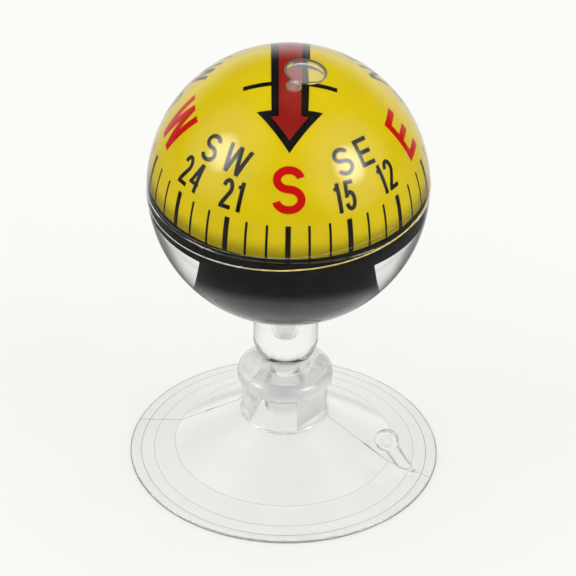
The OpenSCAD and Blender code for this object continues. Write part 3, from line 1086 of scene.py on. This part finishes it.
def merged(shapes):
    """Joins flat shapes that overlap, and meshes them finely enough to lie on the round dial."""
    corners, outlines = [], []
    for shape in shapes:
        shape = finely_divided(shape)
        if sum(a[0] * b[1] - b[0] * a[1] for a, b in zip(shape, shape[1:] + shape[:1])) < 0:
            shape = shape[::-1]
        outlines.append(list(range(len(corners), len(corners) + len(shape))))
        corners += [Vector(p) for p in shape]
    xs, ys = [p.x for p in corners], [p.y for p in corners]
    grid = []
    for i in range(int((max(xs) - min(xs)) / INK_GRID) + 1):
        for j in range(int((max(ys) - min(ys)) / INK_GRID) + 1):
            grid.append(Vector((min(xs) + (i + 0.5) * INK_GRID, min(ys) + (j + 0.5) * INK_GRID)))
    points, _, faces, _, _, sources = delaunay_2d_cdt(corners + grid, [], outlines, 0, 1e-8)
    used = [tuple(face) for face, source in zip(faces, sources) if source]
    keep = sorted({i for face in used for i in face})
    number = {old: new for new, old in enumerate(keep)}
    return [tuple(points[i]) for i in keep], [tuple(number[i] for i in face) for face in used]


# What is printed at each bearing
NUMBERS = {29.5: "15", 57.5: "12", 120: "6", 150: "3", -30: "21", -57.5: "24", -120: "30", -150: "33"}
CORNERS = {42: "SE", -42: "SW", 136: "NE", -136: "NW"}
# The large letters, with their bearing and rise
CARDINALS = ((0, 30.5, "S"), (87, 30.5, "E"), (180, 30.5, "N"), (-90.3, 32.3, "W"))
# Widths of the signs of each kind of lettering, as shares of their height
SLIM = {"1": 0.26, "other": 0.42}
PLAIN = {"W": 0.98, "E": 0.6, "S": 0.68, "other": 0.74}
BOLD = {"W": 0.9, "E": 0.58, "S": 0.7, "other": 0.76}
# How far the dial is turned from south, in degrees
DIAL_TURN = 0.3
TICKS = 36


def make_scale(finish):
    """Ticks round the dial, every third one heavy."""
    long = (TICK_TOP - TICK_LOW) * math.pi / 180 * DOME_R
    ticks = []
    for i in range(TICKS):
        across = LONG_TICK_W if i % 3 == 0 else TICK_W
        tick = bar(-across / 2, -long / 2, across / 2, long / 2)
        ticks.append((i * 360 / TICKS + DIAL_TURN, (TICK_TOP + TICK_LOW) / 2, [tick]))
    printed("dial_ticks", ticks, finish)


def make_lettering(name, words, finish, **kind):
    """Prints words in one kind of lettering, each with its bearing, its rise and its text."""
    prints = []
    for bearing, rise, text in words:
        prints.append((bearing + DIAL_TURN, rise, lettering(text, **kind)))
    printed(name, prints, finish)


def arrow_shape(half_w, neck, barb, tip, tail):
    """Outline of an arrow that points down, round from the left of its tail."""
    left = [(-half_w, tail), (-half_w, neck), (-barb, neck)]
    return left + [(0, tip)] + [(-x, y) for x, y in left[::-1]]


def make_arrow(black, red):
    """Red arrow on top of the dial in a black outline, with a bar across it."""
    h, n, t, line = ARROW_HALF_W, ARROW_NECK, ARROW_TIP, ARROW_LINE
    red_n = n - line
    red_t = t + line * math.hypot(ARROW_BARB, n - t) / ARROW_BARB
    red_barb = ARROW_BARB * (red_n - red_t) / (n - t)
    outer = arrow_shape(h, n, ARROW_BARB, t, ARROW_TAIL)
    inner = arrow_shape(h - line, red_n, red_barb, red_t, ARROW_TAIL - line)
    outline = []
    for i in range(len(outer)):
        j = (i + 1) % len(outer)
        outline.append([outer[i], outer[j], inner[j], inner[i]])
    reach, y, thick = CROSS_BAR
    outline.append(bar(-reach, y - thick / 2, -h + line / 2, y + thick / 2))
    outline.append(bar(h - line / 2, y - thick / 2, reach, y + thick / 2))
    printed("dial_arrow_outline", [(DIAL_TURN, 90, outline)], black)
    printed("dial_arrow", [(DIAL_TURN, 90, [inner])], red)


make_camera()
make_room()
make_floor()

for made in (moulded_skin(), handling_marks(), uneven_tint()):
    EFFECTS[made.name] = made

# Light from the lamps is tinted by this on its way through hard clear plastic
LAMPLIGHT_THROUGH = (0.97, 0.975, 0.975, 1)

# Each edge value sets how dark the painted shade gets where a face of that clear finish turns from the eye
CLEAR_PLASTIC = clear_finish(
    "shell_plastic", PLASTIC_IOR, (0.99, 0.995, 1, 1), (0.975, 0.985, 0.985, 1), LAMPLIGHT_THROUGH,
    wave_height=0.000004, edge=0.9)
STEM_PLASTIC = clear_finish(
    "stem_plastic", PLASTIC_IOR, (0.99, 0.99, 0.99, 1), (0.975, 0.98, 0.98, 1), LAMPLIGHT_THROUGH,
    wave_height=0.000004, edge=0.5, edge_shade_from=0.3)
RECESS = clear_finish(
    "cored_recess", PLASTIC_IOR, (0.9, 0.9, 0.895, 1), (0.82, 0.82, 0.81, 1), LAMPLIGHT_THROUGH,
    wave_height=0.00002, haze=0.22, clearness=0.9)
WET_PLASTIC = clear_finish(
    "wetted_plastic", PLASTIC_IOR / LIQUID_IOR, WHITE, (0.99, 0.995, 0.99, 1), WHITE,
    wave_height=0.000002, marks=0.0)
CEMENTED = joined_finish("cemented_joint", WHITE, (0.985, 0.985, 0.975, 1))
LIQUID = joined_finish("still_liquid", WHITE, (0.995, 0.995, 0.985, 1))
# The bubble skin is not quite clear: its white share is a painted highlight that makes each bubble and its
# ring paler
AIR_SKIN = clear_finish(
    "bubble_skin", LIQUID_IOR, WHITE, (0.99, 0.99, 0.99, 1), WHITE,
    wave_height=0.0, marks=0.0, clearness=0.92)
SOFT_PVC = clear_finish(
    "soft_pvc", PVC_IOR, (0.995, 0.995, 0.995, 1), (0.98, 0.98, 0.98, 1), (0.97, 0.97, 0.965, 1),
    wave_height=0.00004, wave_scale=220.0, marks=0.5, haze=0.11, clearness=0.92, edge=0.35,
    thick_above=FLOOR_Z, upright=3.0)
# The grey of the mould lines is painted shade: the dark outlines that the cup's edges, creases and flash show
# in clear PVC
MOULD_LINE_PAINTED_SHADE = clear_finish(
    "mould_line_pvc_painted_shade", 1.06, (0.5, 0.5, 0.48, 1), (0.4, 0.4, 0.39, 1), (0.9, 0.9, 0.89, 1),
    wave_height=0.0, haze=0.2)
BLACK_PLASTIC = solid_finish(
    "float_black", (0.004, 0.004, 0.0035, 1), (0.007, 0.007, 0.006, 1), ior=1.06, shine=0.05)
# The yellow darkens towards the dome's lower edge, a painted shade where the black rim shades it
YELLOW_PLASTIC = solid_finish(
    "dial_yellow", (0.71, 0.54, 0.004, 1), (0.68, 0.505, 0.004, 1), roughness=0.35, marked=0.5,
    painted_shade_below=BALL_Z + DOME_EDGE + 2.2 * MM)
BLACK_INK = solid_finish(
    "black_ink", (0.005, 0.004, 0.003, 1), (0.012, 0.01, 0.005, 1), roughness=0.45, marked=0.6)
RED_INK = solid_finish("red_ink", (0.57, 0.003, 0.002, 1), (0.53, 0.005, 0.003, 1))
DARK_RED_INK = solid_finish(
    "dark_red_ink", (0.27, 0.01, 0.008, 1), (0.31, 0.022, 0.014, 1), flecks=0.5)
STEEL = solid_finish(
    "turned_steel", (0.55, 0.55, 0.56, 1), (0.42, 0.42, 0.43, 1), roughness=0.3, marked=0.5, ior=1.5,
    wave_scale=900.0, metal=1.0, shine=0.5)
FERRITE = solid_finish(
    "pressed_ferrite", (0.06, 0.058, 0.058, 1), (0.11, 0.105, 0.1, 1), roughness=0.7, marked=0.85, ior=1.5,
    wave_height=0.00003, wave_scale=1500.0, shine=0.5)
CEMENT = hazy_cement("cement", (0.82, 0.8, 0.7, 1), thin=0.04, thick=0.3)
# The seam bead's gold is a painted reflection of the yellow dial, and its paler left side a painted highlight
SEAM_BEAD_PAINTED_REFLECTION = hazy_cement(
    "seam_bead_painted_reflection", (0.86, 0.68, 0.2, 1), thin=0.55, thick=1.0, left=(0.62, 0.61, 0.56, 1))
CLOUDY_CEMENT = hazy_cement("cloudy_cement", (0.85, 0.85, 0.83, 1), thin=0.45, thick=0.9)

shell_finishes = [CLEAR_PLASTIC, WET_PLASTIC, CEMENTED]
make_upper_shell(shell_finishes)
make_lower_shell(shell_finishes)
make_filler_plug(shell_finishes)
make_stem([STEM_PLASTIC, CEMENTED, CLOUDY_CEMENT, RECESS])
make_weld_line(SEAM_BEAD_PAINTED_REFLECTION)
make_tongue_cement(CEMENT)
make_liquid(LIQUID, AIR_SKIN)
make_dome(YELLOW_PLASTIC)
make_base(BLACK_PLASTIC)
make_scale(BLACK_INK)
make_lettering("dial_numbers", [(bearing, NUMBER_AT, text) for bearing, text in NUMBERS.items()],
               BLACK_INK, height=NUMBER_H, width=SLIM, thick=0.14, gap=0.1)
make_lettering("dial_corner_letters", [(bearing, CORNER_AT, text) for bearing, text in CORNERS.items()],
               BLACK_INK, height=CORNER_H, width=PLAIN, thick=0.152, gap=0.29)
make_lettering("dial_cardinal_letters", CARDINALS, RED_INK, height=CARDINAL_H, width=BOLD, thick=0.17, gap=0)
make_arrow(BLACK_INK, DARK_RED_INK)
make_rings(MOULD_LINE_PAINTED_SHADE)
make_parting_lines(MOULD_LINE_PAINTED_SHADE)
make_tab_outline(MOULD_LINE_PAINTED_SHADE)
for name, finish in (("suction_cup", SOFT_PVC), ("ballast", STEEL), ("magnet", FERRITE)):
    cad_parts[name].material_slots[0].material = finish
